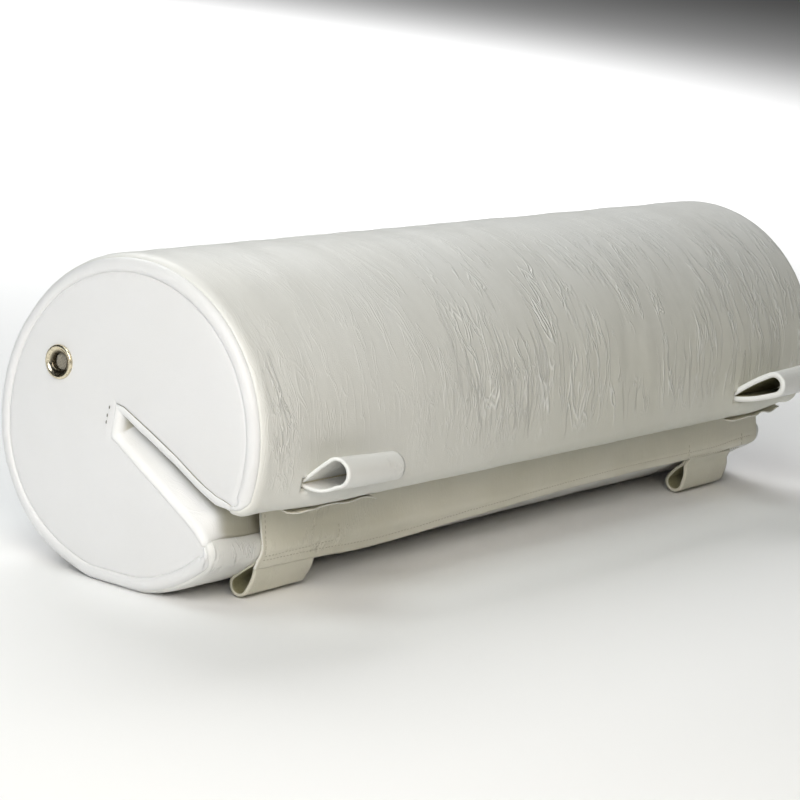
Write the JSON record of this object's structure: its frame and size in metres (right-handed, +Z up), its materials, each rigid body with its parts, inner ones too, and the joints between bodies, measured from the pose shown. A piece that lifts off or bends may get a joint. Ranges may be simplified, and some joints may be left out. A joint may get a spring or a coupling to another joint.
{
  "type": "foam roller",
  "caption": "Vinyl-covered foam bolster roller with a slot along its length that slips over a board, a hinged flap over the slot and fold-out vinyl loops.",
  "frame": {"origin": "On the floor, under the middle of the roller's axis, at the middle of the flat strip that it rests on.", "axes": "+X runs along the roller to its right end as seen from the slot side, +Y points to the plain back, +Z is up. The slot opens to the front (-Y) and down."},
  "size_m": [0.7346, 0.261, 0.218],
  "materials": {
    "foam": "firm closed-cell foam, matt",
    "vinyl_white": "white PVC-coated cloth, soft sheen, fine creases",
    "vinyl_shade": "off-white PVC-coated cloth, low sheen",
    "eyelet_metal": "nickel-plated brass, polished dome",
    "screen_mesh": "fine woven wire mesh"
  },
  "bodies": {
    "roller": {"foam_core": "foam", "barrel_cover": "vinyl_white", "slot_lining": "vinyl_white", "rim_band_left": "vinyl_white", "rim_band_right": "vinyl_white", "end_panel_left": "vinyl_white", "end_panel_right": "vinyl_white", "vent_eyelet_left": "eyelet_metal", "vent_eyelet_right": "eyelet_metal", "vent_washer_left": "eyelet_metal", "vent_washer_right": "eyelet_metal", "vent_screen_left": "screen_mesh", "vent_screen_right": "screen_mesh", "loop_tail_left": "vinyl_shade", "loop_tail_right": "vinyl_shade", "lip_patch_left": "vinyl_shade", "lip_patch_right": "vinyl_shade", "flap_anchor": "vinyl_shade"},
    "flap": {"closing_flap": "vinyl_shade", "flap_patch_left": "vinyl_shade", "flap_patch_right": "vinyl_shade"},
    "upper_loop_l": {"upper_loop_left": "vinyl_white"},
    "upper_loop_r": {"upper_loop_right": "vinyl_white"},
    "lower_loop_l": {"lower_loop_left": "vinyl_shade"},
    "lower_loop_r": {"lower_loop_right": "vinyl_shade"}
  },
  "joints": [
    {"name": "flap_hinge", "type": "hinge", "parent": "roller", "child": "flap", "pos_m": [0, -0.0751, 0.07751], "axis": [-1, 0, 0], "range_deg": [0, 46]},
    {"name": "upper_loop_l_fold", "type": "hinge", "parent": "roller", "child": "upper_loop_l", "pos_m": [-0.279, -0.10872, 0.08696], "axis": [1, 0, 0], "range_deg": [-15, 40], "stiffness_Nm_per_rad": 0.02},
    {"name": "upper_loop_r_fold", "type": "hinge", "parent": "roller", "child": "upper_loop_r", "pos_m": [0.279, -0.10872, 0.08696], "axis": [1, 0, 0], "range_deg": [-15, 40], "stiffness_Nm_per_rad": 0.02},
    {"name": "lower_loop_l_fold", "type": "hinge", "parent": "flap", "child": "lower_loop_l", "pos_m": [-0.28, -0.07658, 0.02472], "axis": [-1, 0, 0], "range_deg": [0, 45], "stiffness_Nm_per_rad": 0.01},
    {"name": "lower_loop_r_fold", "type": "hinge", "parent": "flap", "child": "lower_loop_r", "pos_m": [0.27, -0.07658, 0.02472], "axis": [-1, 0, 0], "range_deg": [0, 45], "stiffness_Nm_per_rad": 0.01}
  ]
}
